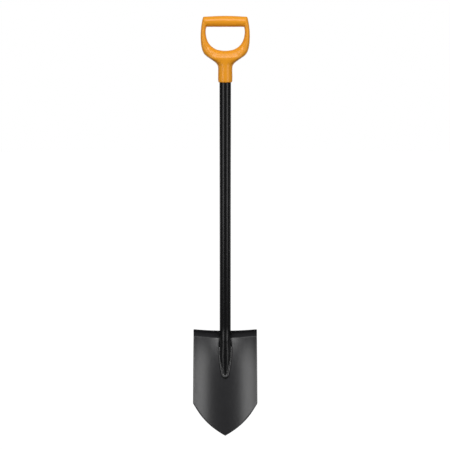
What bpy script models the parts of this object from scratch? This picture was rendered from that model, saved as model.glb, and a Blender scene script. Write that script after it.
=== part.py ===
"""Pointed spade: a pressed steel blade on a steel tube, with a moulded D-shaped handle.

Metres, +Z up along the shaft, front towards -Y. The origin is the middle of the underside of
the grip bar, where the spade hangs from a hook. The blade leans forward from the shaft line.
"""

import math

import bmesh
import bpy
from mathutils import Matrix, Vector

# Fits
GAP = 0.0003
WELD_GAP = 0.0004

# Handle
GRIP_HEIGHT = 0.0293
GRIP_DEPTH = 0.0300
GRIP_CROWN = 0.0022
OPENING_WIDTH = 0.1058
OPENING_HEIGHT = 0.0635
OPENING_CORNER = 0.0070
HANDLE_WIDTH = 0.1330
SHOULDER_WIDTH = 0.1235
ARM_DEPTH = 0.0250
CROTCH_DEPTH = 0.0400
CROTCH_HEIGHT = 0.0240
CROTCH_ROLL = (0.60, 0.88, 0.99)
SOCKET_DIAMETER = 0.0390
SOCKET_LENGTH = 0.0610
SOCKET_EDGE = 0.0035
SHAFT_INSERT = 0.0480

# Shaft
SHAFT_DIAMETER = 0.0315
SHAFT_WALL = 0.0015
SHAFT_LENGTH = 0.7300
CRANK_ANGLE = math.radians(17)
CRANK_RADIUS = 0.1200
SHAFT_LAP = 0.1040
PRESSED_LENGTH = 0.0980
PRESSED_WIDTH = 0.0290
CLOSED_LENGTH = 0.0300
OGIVE_LENGTH = 0.0850
OGIVE_POINT = 0.0080
OGIVE_POWER = 2.3
TAPER_POINT = 0.0036
TAPER_POWER = 1.15
SHAFT_STANDOFF = 0.0010

# Handle screw
SCREW_HEIGHT = 0.0200
SCREW_HEAD = 0.0090
SCREW_HEAD_HEIGHT = 0.0022
SCREW_SHANK = 0.0045
SCREW_LENGTH = 0.0120
SCREW_SEAT = 0.0015

# Blade
BLADE_WIDTH = 0.1790
BLADE_THICKNESS = 0.0020
BLADE_LIFT = math.radians(20)
BLADE_STRAIGHT = 0.1845
POINT_LENGTH = 0.0885
POINT_CURVE = 0.4
DISH_RADIUS = 0.1900
CROWN_ANGLE = math.radians(10)
CROWN_LENGTH = 0.1000
EDGE_THICKNESS = 0.0008
TREAD_RADIUS = 0.0152
TREAD_TURN = math.radians(78)
TREAD_FLAT = 0.0050
TREAD_RISE = 0.0020
TREAD_CORNER = 0.0040
NOTCH_WIDTH = 0.0200
POCKET_MARGIN = 0.0050
POCKET_START = 0.0010
POCKET_END = 0.0120
POCKET_DEPTH = 0.0018
POCKET_WALL = 0.0060

# Welds
SHAFT_WELD = 0.0060
TIP_WELD = 0.0068
SHAFT_WELD_LENGTH = 0.0900
TREAD_WELD = 0.0030

SECTION_SIDES = 24
SHARP_ANGLE = math.radians(40)
SHAFT_RADIUS = SHAFT_DIAMETER / 2
SOCKET_RADIUS = SOCKET_DIAMETER / 2
SHEET = BLADE_THICKNESS / 2
CROTCH_Z = -(OPENING_HEIGHT + CROTCH_HEIGHT)
SOCKET_END = CROTCH_Z - SOCKET_LENGTH
SHAFT_TOP = SOCKET_END + SHAFT_INSERT
CRANK_TOP = SHAFT_TOP - SHAFT_LENGTH


def clear_scene():
    for obj in list(bpy.data.objects):
        bpy.data.objects.remove(obj, do_unlink=True)


def new_collection(name):
    collection = bpy.data.collections.new(name)
    bpy.context.scene.collection.children.link(collection)
    return collection


def make_material(name, colour, roughness, metallic):
    material = bpy.data.materials.new(name)
    material.use_nodes = True
    shader = material.node_tree.nodes["Principled BSDF"]
    shader.inputs["Base Color"].default_value = (*colour, 1)
    shader.inputs["Roughness"].default_value = roughness
    shader.inputs["Metallic"].default_value = metallic
    return material


def add_object(name, mesh, collection, material=None):
    obj = bpy.data.objects.new(name, mesh)
    collection.objects.link(obj)
    if material:
        mesh.materials.append(material)
    return obj


def make_cutter(name, mesh, collection):
    obj = add_object(name, mesh, collection)
    obj.hide_render = True
    obj.display_type = "WIRE"
    return obj


def cut(obj, cutter):
    modifier = obj.modifiers.new("cut_" + cutter.name, "BOOLEAN")
    modifier.operation = "DIFFERENCE"
    modifier.object = cutter


def smooth_step(value):
    value = min(max(value, 0), 1)
    return value * value * (3 - 2 * value)


def cylinder_mesh(name, radius, length, sides=SECTION_SIDES):
    """A closed cylinder on the Z axis, from z = 0 up to its length."""
    mesh = bpy.data.meshes.new(name)
    bm = bmesh.new()
    lift = Matrix.Translation((0, 0, length / 2))
    bmesh.ops.create_cone(
        bm, cap_ends=True, segments=sides, radius1=radius, radius2=radius, depth=length, matrix=lift
    )
    bm.to_mesh(mesh)
    bm.free()
    return mesh


def bead_along(name, points, collection, material):
    """A round bead through (place, radius) points, with filled ends."""
    curve = bpy.data.curves.new(name, "CURVE")
    curve.dimensions = "3D"
    curve.bevel_depth = 1
    curve.bevel_resolution = 1
    curve.use_fill_caps = True
    spline = curve.splines.new("POLY")
    spline.points.add(len(points) - 1)
    for target, (place, radius) in zip(spline.points, points):
        target.co = (*place, 1)
        target.radius = radius
    curve.materials.append(material)
    obj = bpy.data.objects.new(name, curve)
    collection.objects.link(obj)
    return obj


# Blade frame: v runs down the blade from the bend of the treads, w points out of its front.
BLADE_DOWN = Vector((0, -math.sin(BLADE_LIFT), -math.cos(BLADE_LIFT)))
BLADE_FRONT = Vector((0, -math.cos(BLADE_LIFT), math.sin(BLADE_LIFT)))
LOWER_DOWN = Vector((0, -math.sin(CRANK_ANGLE), -math.cos(CRANK_ANGLE)))
DIVE_ANGLE = BLADE_LIFT - CRANK_ANGLE


def shaft_point(distance):
    """The middle of the tube, at a distance down from where the crank starts."""
    arc = CRANK_RADIUS * CRANK_ANGLE
    angle = min(max(distance, 0), arc) / CRANK_RADIUS
    point = Vector((0, -CRANK_RADIUS * (1 - math.cos(angle)), -CRANK_RADIUS * math.sin(angle)))
    point.z += CRANK_TOP - min(distance, 0)
    return point + LOWER_DOWN * max(distance - arc, 0)


def shaft_direction(distance):
    arc = CRANK_RADIUS * CRANK_ANGLE
    angle = min(max(distance, 0), arc) / CRANK_RADIUS
    return Vector((0, -math.sin(angle), -math.cos(angle)))


def crown(v):
    """How far the sheet curves back towards the treads."""
    share = max(0, 1 - max(v, 0) / CROWN_LENGTH)
    return CROWN_LENGTH / 2 * math.tan(CROWN_ANGLE) * share**2


# The treads bend off the sheet level with the end of the crank, where the tube rests on it.
BEND_DISTANCE = CRANK_RADIUS * CRANK_ANGLE
BEND_SEAT = SHAFT_RADIUS + SHEET + SHAFT_STANDOFF
BLADE_ORIGIN = shaft_point(BEND_DISTANCE) - BLADE_FRONT * (BEND_SEAT - crown(0))
SHAFT_TIP = BEND_DISTANCE + SHAFT_LAP
POCKET_LENGTH = SHAFT_LAP * math.cos(DIVE_ANGLE) + POCKET_END


def blade_world(x, v, w):
    return BLADE_ORIGIN + Vector((x, 0, 0)) + BLADE_DOWN * v + BLADE_FRONT * w


def pocket_half_width(v):
    """The pocket follows the pressed end of the tube, then closes in a round end."""
    left = POCKET_LENGTH - POCKET_END - v
    if v <= POCKET_START or left <= -POCKET_END:
        return 0
    half_width = pressed_section(max(left, 0))[0] + POCKET_MARGIN
    return half_width * (1 - smooth_step(-left / POCKET_END))


def pocket_depth(x, v):
    side = smooth_step((pocket_half_width(v) - abs(x)) / POCKET_WALL)
    start = smooth_step((v - POCKET_START) / (1.3 * POCKET_WALL))
    return POCKET_DEPTH * side * start


def dish(x):
    return DISH_RADIUS - math.sqrt(DISH_RADIUS**2 - x**2)


def sheet_middle(x, v):
    """Height of the middle of the sheet over the bottom of the blade's dish."""
    return dish(x) - pocket_depth(x, v) - crown(v)


def tread_point(angle, inwards=0):
    """(v, w) on the bend of the treads at the bottom of the dish, or this far inside it."""
    radius = TREAD_RADIUS - inwards
    v = -TREAD_RADIUS * math.sin(CROWN_ANGLE) - radius * math.sin(angle)
    w = TREAD_RADIUS * math.cos(CROWN_ANGLE) - radius * math.cos(angle) - crown(0)
    return v, w


def blade_half_width(v):
    """Half of the blade's width, in the straight part and in the ogival point."""
    if v <= BLADE_STRAIGHT:
        return BLADE_WIDTH / 2
    share = (v - BLADE_STRAIGHT) / POINT_LENGTH
    return BLADE_WIDTH / 2 * (1 - (1 - POINT_CURVE) * share - POINT_CURVE * share**3)


def column_shares():
    """Places of the mesh columns across the blade, close together over the pocket."""
    fine = PRESSED_WIDTH / 2 + POCKET_MARGIN
    half_arc = DISH_RADIUS * math.asin(BLADE_WIDTH / 2 / DISH_RADIUS)
    inner = [fine * i / 7 for i in range(8)]
    outer = [fine + (half_arc - fine) * i / 5 for i in range(1, 6)]
    right = [value / half_arc for value in inner + outer]
    return [-value for value in right[:0:-1]] + right


def row_places():
    """(v, w, narrowing) of each row, from the free edge of the treads down to the point."""
    rows = []
    end_v, end_w = tread_point(TREAD_TURN)
    for share in (0, 0.3, 1):
        length = TREAD_FLAT - TREAD_CORNER * share
        v = end_v - length * math.cos(TREAD_TURN)
        w = end_w + length * math.sin(TREAD_TURN)
        rows.append((v, w, TREAD_CORNER * (1 - share) ** 2))
    bends = 7
    for i in range(bends, 0, -1):
        angle = -CROWN_ANGLE + (TREAD_TURN + CROWN_ANGLE) * i / bends
        rows.append((*tread_point(angle), 0))
    fine = 26
    coarse = 3
    point = 10
    places = [POCKET_LENGTH * i / fine for i in range(fine + 1)]
    plain = POCKET_LENGTH + POCKET_WALL
    places += [plain + (BLADE_STRAIGHT - plain) * i / coarse for i in range(coarse)]
    places += [BLADE_STRAIGHT + POINT_LENGTH * i / point for i in range(point + 1)]
    return rows + [(v, -crown(v), 0) for v in places]


def make_blade(parts, cutters, material):
    bm = bmesh.new()
    layer = bm.verts.layers.deform.verify()
    shares = column_shares()
    previous = None
    for v, middle, narrowing in row_places():
        half = blade_half_width(v) - narrowing
        arc = DISH_RADIUS * math.asin(max(half, 0) / DISH_RADIUS)
        cutting = v > BLADE_STRAIGHT - 1e-9
        row = []
        for number, share in enumerate(shares):
            x = DISH_RADIUS * math.sin(share * arc / DISH_RADIUS)
            rise = TREAD_RISE * (2 * x / BLADE_WIDTH) ** 2 * max(0, 1 - v / POCKET_LENGTH)
            height = dish(x) - pocket_depth(x, v) + middle
            vert = bm.verts.new(blade_world(x, v - rise, height))
            edge = cutting and number in (0, len(shares) - 1)
            vert[layer][0] = EDGE_THICKNESS / BLADE_THICKNESS if edge else 1
            row.append(vert)
            if half < 1e-9:
                vert[layer][0] = EDGE_THICKNESS / BLADE_THICKNESS
                row = [vert] * len(shares)
                break
        if previous:
            for i in range(len(shares) - 1):
                corners = [previous[i], previous[i + 1], row[i + 1], row[i]]
                bm.faces.new(list(dict.fromkeys(corners)))
        previous = row
    bmesh.ops.recalc_face_normals(bm, faces=bm.faces)
    mesh = bpy.data.meshes.new("blade")
    bm.to_mesh(mesh)
    bm.free()
    blade = add_object("blade", mesh, parts, material)
    blade.vertex_groups.new(name="sheet")
    solidify = blade.modifiers.new("sheet", "SOLIDIFY")
    solidify.thickness = BLADE_THICKNESS
    solidify.offset = 0
    solidify.use_even_offset = True
    solidify.vertex_group = "sheet"
    mesh.shade_smooth()

    cut(blade, make_cutter("notch", notch_mesh(), cutters))
    cut(blade, make_cutter("tube_space", tube_space_mesh(), cutters))


def notch_mesh():
    """A box that takes the middle of the treads away behind the tube."""
    length = 2 * TREAD_RADIUS + TREAD_FLAT
    mesh = bpy.data.meshes.new("notch")
    bm = bmesh.new()
    bmesh.ops.create_cube(bm, size=1)
    bm.to_mesh(mesh)
    bm.free()
    size = Matrix.Diagonal((NOTCH_WIDTH, length, 3 * TREAD_RADIUS, 1))
    turn = Matrix((Vector((-1, 0, 0)), BLADE_DOWN, BLADE_FRONT)).transposed().to_4x4()
    place = Matrix.Translation(blade_world(0, -length / 2, TREAD_RADIUS))
    mesh.transform(place @ turn @ size)
    return mesh


def tube_space_mesh():
    """The tube's outside with the gap of the weld, from the bend up past the treads."""
    radius = SHAFT_RADIUS + WELD_GAP
    above = 2 * TREAD_RADIUS + TREAD_FLAT
    steps = 10
    bm = bmesh.new()
    rings = []
    for i in range(steps + 1):
        place = BEND_DISTANCE - above * i / steps
        rings.append(add_ring(bm, place, radius, radius))
    for first, second in zip(rings, rings[1:]):
        join_rings(bm, first, second)
    bm.faces.new(rings[0])
    bm.faces.new(rings[-1])
    bmesh.ops.recalc_face_normals(bm, faces=bm.faces)
    mesh = bpy.data.meshes.new("tube_space")
    bm.to_mesh(mesh)
    bm.free()
    return mesh


def pressed_section(left):
    """Half width and half height of the tube, this far above its point: an ogive and a taper."""
    ogive = min(left / OGIVE_LENGTH, 1)
    width = OGIVE_POINT / 2 + (PRESSED_WIDTH - OGIVE_POINT) / 2 * (1 - (1 - ogive) ** OGIVE_POWER)
    opened = smooth_step((left - OGIVE_LENGTH) / (PRESSED_LENGTH - OGIVE_LENGTH))
    width += (SHAFT_RADIUS - width) * opened
    taper = min(left / PRESSED_LENGTH, 1) ** TAPER_POWER
    height = TAPER_POINT / 2 + (SHAFT_RADIUS - TAPER_POINT / 2) * taper
    return width, height


def add_ring(bm, distance, half_width, half_height):
    """One section of the tube, square to its middle line."""
    middle = shaft_point(distance)
    down = shaft_direction(distance)
    front = Vector((0, down.z, -down.y))
    ring = []
    for i in range(SECTION_SIDES):
        angle = 2 * math.pi * i / SECTION_SIDES
        across = Vector((half_width * math.cos(angle), 0, 0))
        ring.append(bm.verts.new(middle + across + front * half_height * math.sin(angle)))
    return ring


def join_rings(bm, first, second):
    for i in range(SECTION_SIDES):
        j = (i + 1) % SECTION_SIDES
        bm.faces.new((first[i], first[j], second[j], second[i]))


def make_shaft(parts, material):
    """The tube: outer skin down to the closed point, back up the inner skin to the open top."""
    bends = 6
    arc = [BEND_DISTANCE * i / bends for i in range(bends + 1)]
    left = [PRESSED_LENGTH - 0.014 * i for i in range(0, 6)]
    left += [0.022, 0.016, 0.011, 0.006, 0.0025, 0]
    pressed = [SHAFT_TIP - value for value in left]
    top = -SHAFT_LENGTH
    outer = [top, top / 2] + arc + [place for place in pressed if place > BEND_DISTANCE]
    inner = [place for place in outer if place < SHAFT_TIP - CLOSED_LENGTH]
    bm = bmesh.new()
    rings = []
    for place in outer:
        rings.append(add_ring(bm, place, *pressed_section(SHAFT_TIP - place)))
    for place in reversed(inner):
        half_width, half_height = pressed_section(SHAFT_TIP - place)
        rings.append(add_ring(bm, place, half_width - SHAFT_WALL, half_height - SHAFT_WALL))
    outer_end = len(outer)
    for i in range(outer_end - 1):
        join_rings(bm, rings[i], rings[i + 1])
    bm.faces.new(rings[outer_end - 1])
    bm.faces.new(rings[outer_end])
    for i in range(outer_end, len(rings) - 1):
        join_rings(bm, rings[i], rings[i + 1])
    join_rings(bm, rings[-1], rings[0])
    bmesh.ops.recalc_face_normals(bm, faces=bm.faces)
    mesh = bpy.data.meshes.new("shaft")
    bm.to_mesh(mesh)
    bm.free()
    mesh.shade_smooth()
    mesh.set_sharp_from_angle(angle=SHARP_ANGLE)
    return add_object("shaft", mesh, parts, material)


def opening_half_width(depth):
    """Half of the hand opening's width, this far below the grip bar."""
    share = min(depth / OPENING_HEIGHT, 1)
    return OPENING_WIDTH / 2 * (1 - share**3) ** 0.455


def handle_stations():
    """Right half of the D: inner (x, z), outer (x, z) and half depth, from bar to crotch."""
    opening = OPENING_WIDTH / 2
    handle = HANDLE_WIDTH / 2
    shoulder = SHOULDER_WIDTH / 2
    corner = OPENING_CORNER
    bar = GRIP_DEPTH / 2
    arm = ARM_DEPTH / 2
    crotch = CROTCH_DEPTH / 2
    deep = OPENING_HEIGHT
    low = CROTCH_Z

    def inner(share):
        return opening_half_width(share * deep), -share * deep

    return [
        ((0, 0), (0, GRIP_HEIGHT), bar),
        ((0.50 * opening, 0), (0.55 * opening, GRIP_HEIGHT - 0.3 * GRIP_CROWN), bar),
        ((opening - corner, 0), (opening, GRIP_HEIGHT - GRIP_CROWN), 0.97 * bar),
        (
            (opening - 0.25 * corner, -0.3 * corner),
            (shoulder - 0.15 * corner, GRIP_HEIGHT - GRIP_CROWN - 0.6 * corner),
            0.92 * bar,
        ),
        (inner(0.20), (handle - 0.15 * corner, -0.05 * deep), arm),
        (inner(0.42), (handle, -0.42 * deep), arm),
        (inner(0.64), (handle - 0.2 * corner, -0.78 * deep), arm),
        (inner(0.82), (0.908 * handle, low + 0.88 * CROTCH_HEIGHT), 1.04 * arm),
        (inner(0.92), (0.785 * handle, low + 0.43 * CROTCH_HEIGHT), 0.9 * crotch),
        (inner(0.965), (0.535 * handle, low - 0.04 * CROTCH_HEIGHT), crotch),
        ((0, -deep), (0, low), crotch),
    ]


def handle_section(inner, outer, half_depth):
    """Eight points round the ring: inner edge, front, outer edge and back, clockwise from above."""
    middle = (Vector(inner) + Vector(outer)) / 2
    arm = (Vector(outer) - Vector(inner)) / 2
    points = []
    for i in range(8):
        angle = math.pi * i / 4
        flat = middle - arm * math.cos(angle)
        points.append(Vector((flat.x, -half_depth * math.sin(angle), flat.y)))
    return points


def roll_into_socket(section):
    """Rounds the crotch so that its front and back run down into the socket without a fold."""
    deep = CROTCH_DEPTH / 2
    for share, front, back in zip(CROTCH_ROLL, (1, 2, 3), (7, 6, 5)):
        section[front].y = -share * deep
        section[back].y = share * deep


def socket_rings():
    """(z, half width, half depth) of the rings from the crotch down to the end of the socket."""
    radius = SOCKET_RADIUS
    return [
        (CROTCH_Z - 0.17 * SOCKET_LENGTH, 1.25 * radius, 1.02 * radius),
        (CROTCH_Z - 0.35 * SOCKET_LENGTH, radius, radius),
        (CROTCH_Z - 0.63 * SOCKET_LENGTH, radius, radius),
        (SOCKET_END + 1.5 * SOCKET_EDGE, radius, radius),
        (SOCKET_END + 0.25 * SOCKET_EDGE, radius - 0.35 * SOCKET_EDGE, radius - 0.35 * SOCKET_EDGE),
        (SOCKET_END, radius - SOCKET_EDGE, radius - SOCKET_EDGE),
        (SOCKET_END, 0.3 * radius, 0.3 * radius),
    ]


def handle_cage():
    """The coarse cage of the handle, and the point on the surface that each vertex stands for."""
    bm = bmesh.new()
    right = [handle_section(*station) for station in handle_stations()]
    for section in right[-2:]:
        roll_into_socket(section)
    left = [[Vector((-p.x, p.y, p.z)) for p in section] for section in right[-2:0:-1]]
    loop = [[bm.verts.new(p) for p in section] for section in right + left]
    count = len(loop)
    bottom = len(right) - 1
    open_faces = {(bottom - 1, 3), (bottom - 1, 4), (bottom, 3), (bottom, 4)}
    for i in range(count):
        for k in range(8):
            if (i, k) in open_faces:
                continue
            first, second = loop[i], loop[(i + 1) % count]
            bm.faces.new((first[k], first[(k + 1) % 8], second[(k + 1) % 8], second[k]))
    bm.verts.remove(loop[bottom][4])
    before, here, after = loop[bottom - 1], loop[bottom], loop[bottom + 1]
    rim = [before[4], before[3], here[3], after[3], after[4], after[5], here[5], before[5]]
    for z, half_width, half_depth in socket_rings():
        ring = []
        for i in range(8):
            angle = -math.pi * i / 4
            place = (half_width * math.cos(angle), half_depth * math.sin(angle), z)
            ring.append(bm.verts.new(place))
        for i in range(8):
            j = (i + 1) % 8
            bm.faces.new((rim[i], rim[j], ring[j], ring[i]))
        rim = ring
    bm.faces.new(rim)
    bmesh.ops.recalc_face_normals(bm, faces=bm.faces)
    mesh = bpy.data.meshes.new("d_handle")
    bm.to_mesh(mesh)
    bm.free()
    return mesh


def pull_onto_points(obj):
    """Moves the cage out until its smoothed surface passes through the points it was drawn on."""
    wanted = [vert.co.copy() for vert in obj.data.vertices]
    for _ in range(4):
        bpy.context.view_layer.update()
        smoothed = obj.evaluated_get(bpy.context.evaluated_depsgraph_get()).data
        offsets = [place - smoothed.vertices[i].co for i, place in enumerate(wanted)]
        for vert, offset in zip(obj.data.vertices, offsets):
            vert.co += 0.8 * offset
        obj.data.update()


def make_handle(parts, cutters, material):
    handle = add_object("d_handle", handle_cage(), parts, material)
    smooth = handle.modifiers.new("smooth", "SUBSURF")
    smooth.levels = 2
    smooth.render_levels = 2
    pull_onto_points(handle)

    bore_mesh = cylinder_mesh("bore", SHAFT_RADIUS + GAP, 2 * SHAFT_INSERT)
    bore_mesh.transform(Matrix.Translation((0, 0, SHAFT_TOP + GAP - 2 * SHAFT_INSERT)))
    cut(handle, make_cutter("bore", bore_mesh, cutters))
    seat = cylinder_mesh("screw_seat", SCREW_HEAD / 2 + 2 * GAP, SOCKET_RADIUS)
    place_on_screw_axis(seat, SOCKET_RADIUS - SCREW_SEAT)
    cut(handle, make_cutter("screw_seat", seat, cutters))
    hole = cylinder_mesh("screw_hole", SCREW_SHANK / 2 + GAP, 2 * SOCKET_RADIUS)
    place_on_screw_axis(hole, 0)
    cut(handle, make_cutter("screw_hole", hole, cutters))
    handle.data.shade_smooth()


def place_on_screw_axis(mesh, start):
    """Turns a mesh on the Z axis so that it points out of the back of the socket."""
    turn = Matrix.Rotation(-math.pi / 2, 4, "X")
    place = Matrix.Translation((0, start, SOCKET_END + SCREW_HEIGHT))
    mesh.transform(place @ turn)


def make_screw(parts, material):
    """A pan-head screw, turned from its profile: top of the head down to the end of the shank."""
    seat = SOCKET_RADIUS - SCREW_SEAT + GAP
    radius = SCREW_HEAD / 2
    shank = SCREW_SHANK / 2
    high = SCREW_HEAD_HEIGHT
    end = seat - SCREW_LENGTH
    profile = [(0, seat + high), (0.55 * radius, seat + 0.95 * high), (0.85 * radius, seat + 0.75 * high)]
    profile += [(radius, seat + 0.4 * high), (radius, seat), (shank, seat)]
    profile += [(shank, end + shank / 2), (shank / 2, end), (0, end)]
    mesh = bpy.data.meshes.new("handle_screw")
    edges = [(i, i + 1) for i in range(len(profile) - 1)]
    mesh.from_pydata([(x, 0, z) for x, z in profile], edges, [])
    screw = add_object("handle_screw", mesh, parts, material)
    turn = screw.modifiers.new("turn", "SCREW")
    turn.steps = SECTION_SIDES
    turn.render_steps = SECTION_SIDES
    turn.use_merge_vertices = True
    turn.merge_threshold = 0.00005
    turn.use_smooth_shade = True
    screw.rotation_euler = (-math.pi / 2, 0, 0)
    screw.location = (0, 0, SOCKET_END + SCREW_HEIGHT)
    return screw


def drill_shaft(shaft, cutters):
    hole = cylinder_mesh("shaft_hole", SCREW_SHANK / 2 + GAP, 2 * SHAFT_RADIUS)
    place_on_screw_axis(hole, 0)
    cut(shaft, make_cutter("shaft_hole", hole, cutters))


def bead_height(x, v, radius):
    """Height of the middle of a bead that clears the sheet on both its sides."""
    reach = radius + SHEET + WELD_GAP
    heights = []
    for step in range(-4, 5):
        side = 0.22 * step
        heights.append(sheet_middle(x + side * reach, v) + reach * math.sqrt(1 - side**2))
    return max(heights)


def shaft_weld_path():
    """Down one side of the pressed end, thicker round its point and up the other side."""
    right = []
    steps = 15
    for i in range(steps + 1):
        share = 1 - i / steps
        left = SHAFT_WELD_LENGTH * share**1.3
        radius = (SHAFT_WELD + (TIP_WELD - SHAFT_WELD) * (1 - share) ** 4) / 2
        half_width, _ = pressed_section(left)
        middle = shaft_point(SHAFT_TIP - left) - BLADE_ORIGIN
        right.append((half_width + radius + WELD_GAP, middle.dot(BLADE_DOWN), radius))
    x, v, radius = right[-1]
    reach = radius + WELD_GAP
    right += [(x - 0.5 * reach, v + 0.85 * reach, radius), (0, v + 1.65 * reach, 1.2 * radius)]
    outline = right + [(-x, v, radius) for x, v, radius in right[-2::-1]]
    return [(blade_world(x, v, bead_height(x, v, radius)), radius) for x, v, radius in outline]


def tread_weld_path(side):
    """Along the front of one tread, where it meets the side of the tube."""
    reach = TREAD_WELD / 2 + WELD_GAP
    points = []
    steps = 6
    for i in range(steps + 1):
        angle = TREAD_TURN * (0.45 + 0.5 * i / steps)
        v, w = tread_point(angle, SHEET + reach)
        w += dish(SHAFT_RADIUS)
        seat = shaft_point(BEND_DISTANCE + v) - BLADE_ORIGIN
        across = math.sqrt(max((SHAFT_RADIUS + reach) ** 2 - (seat.dot(BLADE_FRONT) - w) ** 2, 0))
        points.append((blade_world(side * across, v, w), TREAD_WELD / 2))
    return points


def main():
    clear_scene()
    parts = new_collection("pointed_spade")
    cutters = new_collection("cutters")
    orange = make_material("orange_plastic", (0.80, 0.27, 0.02), 0.38, 0)
    shaft_black = make_material("shaft_coat", (0.012, 0.012, 0.013), 0.35, 0)
    blade_black = make_material("blade_coat", (0.022, 0.022, 0.024), 0.40, 0)
    weld_black = make_material("weld_coat", (0.015, 0.015, 0.016), 0.45, 0)
    zinc = make_material("zinc_plated_steel", (0.55, 0.55, 0.53), 0.35, 1)

    make_handle(parts, cutters, orange)
    shaft = make_shaft(parts, shaft_black)
    drill_shaft(shaft, cutters)
    make_blade(parts, cutters, blade_black)
    make_screw(parts, zinc)
    bead_along("shaft_weld", shaft_weld_path(), parts, weld_black)
    bead_along("weld_right", tread_weld_path(1), parts, weld_black)
    bead_along("weld_left", tread_weld_path(-1), parts, weld_black)


main()
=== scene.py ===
import math

import bmesh
import bpy
from mathutils import Matrix, Vector, noise


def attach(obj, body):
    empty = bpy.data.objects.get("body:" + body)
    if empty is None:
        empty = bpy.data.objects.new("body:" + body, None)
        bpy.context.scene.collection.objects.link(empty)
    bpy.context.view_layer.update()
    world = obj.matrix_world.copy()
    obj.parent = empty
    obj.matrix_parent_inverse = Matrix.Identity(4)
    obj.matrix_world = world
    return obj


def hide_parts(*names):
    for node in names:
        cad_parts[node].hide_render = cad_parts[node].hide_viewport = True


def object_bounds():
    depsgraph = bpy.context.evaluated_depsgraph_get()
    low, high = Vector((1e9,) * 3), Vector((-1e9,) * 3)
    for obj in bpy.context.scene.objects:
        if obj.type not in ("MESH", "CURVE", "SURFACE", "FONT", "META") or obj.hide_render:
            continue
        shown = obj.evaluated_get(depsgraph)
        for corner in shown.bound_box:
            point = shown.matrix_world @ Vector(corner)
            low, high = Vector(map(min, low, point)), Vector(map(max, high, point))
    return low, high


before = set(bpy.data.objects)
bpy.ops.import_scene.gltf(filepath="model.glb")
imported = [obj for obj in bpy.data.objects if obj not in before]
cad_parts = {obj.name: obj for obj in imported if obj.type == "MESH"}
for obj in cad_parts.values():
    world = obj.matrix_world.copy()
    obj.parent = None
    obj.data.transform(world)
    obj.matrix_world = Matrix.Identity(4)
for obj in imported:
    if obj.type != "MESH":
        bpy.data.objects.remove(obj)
CAD_BOX = [list(corner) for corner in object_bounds()]

# The camera looks down a little on the middle of the spade, from far away.
PHOTO_PIXELS = 450
METRES_PER_PIXEL = 0.00279
SENSOR_MM = 36.0
VIEW_DISTANCE = 2.8
VIEW_PITCH = math.radians(9.5)
VIEW_MIDDLE = Vector((-0.0006, 0, -0.5425))

# The studio: two soft upright panels and a soft panel above, all in front. Level 1 shows as white.
PANEL_DISTANCE = 2.2
PANEL_WIDTH = 0.9
PANEL_BOTTOM = -1.04
PANEL_TOP = 0.45
PANEL_LEVEL = 2.4
LEFT_PANEL_TURN = math.radians(-40)
RIGHT_PANEL_TURN = math.radians(43)
TOP_PANEL_PLACE = Vector((0, -1.53, 1.105))
TOP_PANEL_AIM = Vector((0, 0, -0.09))
TOP_PANEL_SIZE = (1.6, 0.9)
TOP_PANEL_LEVEL = 4.4

# The room: levels of its light, and the spans of a direction's Z or Y over which they change.
AMBIENT_BELOW = 0.15
AMBIENT_ABOVE = 0.50
AMBIENT_SPAN = (-0.5, 0.7)
AMBIENT_BEHIND = 0.60
BEHIND_SPAN = (0.1, 0.8)
MIRRORED_FRONT = 0.05
MIRRORED_BACKDROP = 1.0
BACKDROP_SPAN = (0.80, 0.97)

# The floor. Its span is how far behind the spade gloss begins to mirror its light.
FLOOR_DROP = 0.30
FLOOR_RADIUS = 12.0
FLOOR_SIDES = 96
FLOOR_GREY = 0.13
FLOOR_ROUGHNESS = 0.9
FLOOR_LEVEL = 0.95
FLOOR_SPAN = (1.0, 3.0)

# Cycles would sample the whole floor as a lamp if its emission colour were over 0.5, and the grip
# would get noisy. So the colour is low, and the strength makes up for it.
FLOOR_EMISSION = 0.4

# Fits
GAP = 0.0003
WELD_GAP = 0.0004

# Handle
GRIP_HEIGHT = 0.0293
GRIP_DEPTH = 0.0300
GRIP_CROWN = 0.0022
OPENING_WIDTH = 0.1058
OPENING_HEIGHT = 0.0635
OPENING_CORNER = 0.0070
OPENING_SIDE_POWER = 3
OPENING_END_POWER = 0.455
HANDLE_WIDTH = 0.1330
SHOULDER_WIDTH = 0.1235
ARM_DEPTH = 0.0250
CROTCH_DEPTH = 0.0400
CROTCH_HEIGHT = 0.0240
CROTCH_ROLL = (0.60, 0.88, 0.99)
SOCKET_DIAMETER = 0.0390
SOCKET_LENGTH = 0.0610
SOCKET_EDGE = 0.0035
SHAFT_INSERT = 0.0480

# Shaft
SHAFT_DIAMETER = 0.0315
SHAFT_LENGTH = 0.7300
CRANK_ANGLE = math.radians(17)
CRANK_RADIUS = 0.1200
SHAFT_LAP = 0.1040
PRESSED_LENGTH = 0.0980
PRESSED_WIDTH = 0.0290
OGIVE_LENGTH = 0.0850
OGIVE_POINT = 0.0080
OGIVE_POWER = 2.3
TAPER_POINT = 0.0036
TAPER_POWER = 1.15
SHAFT_STANDOFF = 0.0010

# Handle screw. The recess narrows to these shares of its length and width at its bottom.
SCREW_HEIGHT = 0.0200
SCREW_HEAD = 0.0090
SCREW_HEAD_HEIGHT = 0.0022
SCREW_DOME = 0.6
SCREW_SEAT = 0.0015
RECESS_LENGTH = 0.82 * SCREW_HEAD
RECESS_WIDTH = 0.0017
RECESS_DEPTH = 0.0018
RECESS_NARROWING = (0.35, 0.15)

# Blade
BLADE_WIDTH = 0.1790
BLADE_THICKNESS = 0.0020
BLADE_LIFT = math.radians(20)
BLADE_STRAIGHT = 0.1845
POINT_LENGTH = 0.0885
POINT_CURVE = 0.4
DISH_RADIUS = 0.1900
CROWN_ANGLE = math.radians(10)
CROWN_LENGTH = 0.1000
EDGE_THICKNESS = 0.0008
EDGE_BEVEL = 0.00025

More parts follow.
